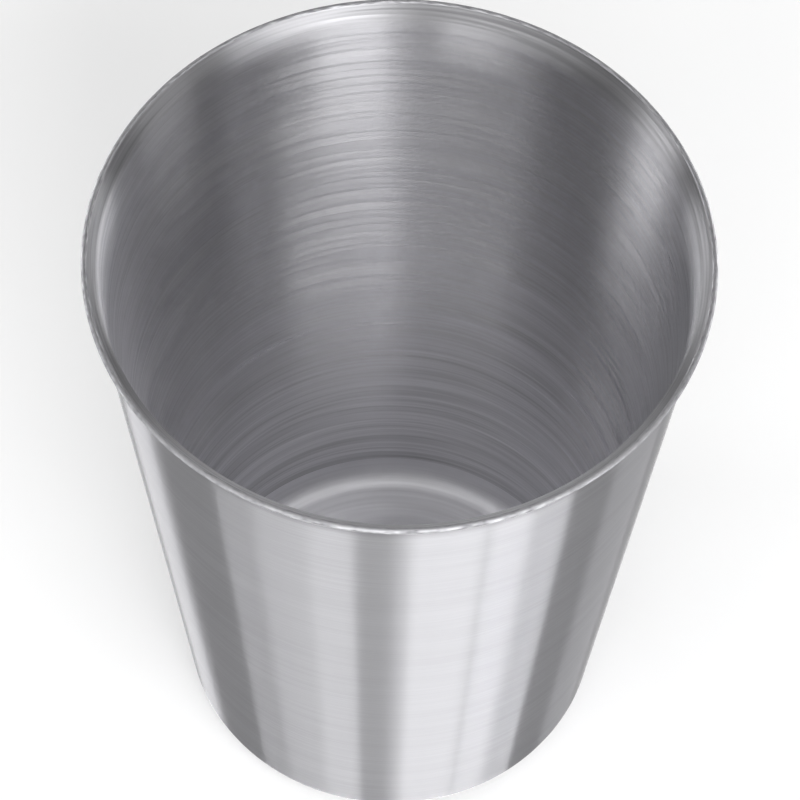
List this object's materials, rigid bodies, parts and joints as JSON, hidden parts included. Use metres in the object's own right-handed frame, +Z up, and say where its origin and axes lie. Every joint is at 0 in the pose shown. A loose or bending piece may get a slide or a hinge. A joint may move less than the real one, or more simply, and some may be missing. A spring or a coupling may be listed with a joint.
{
  "type": "shot cup",
  "caption": "Small tapered single-wall steel cup with a thin flared drinking lip, a brushed finish and a base dished up inside a flat foot ring; holds a shot of drink.",
  "frame": {"origin": "centre of the foot, on the plane that the cup stands on", "axes": "+Z up along the cup's axis, from the foot to the lip; X and Y are any two square directions, because the cup is round"},
  "size_m": [0.038, 0.038, 0.045],
  "materials": {
    "steel": "brushed round the axis, satin"
  },
  "bodies": {
    "root": {"cup_body": "steel"}
  },
  "joints": []
}
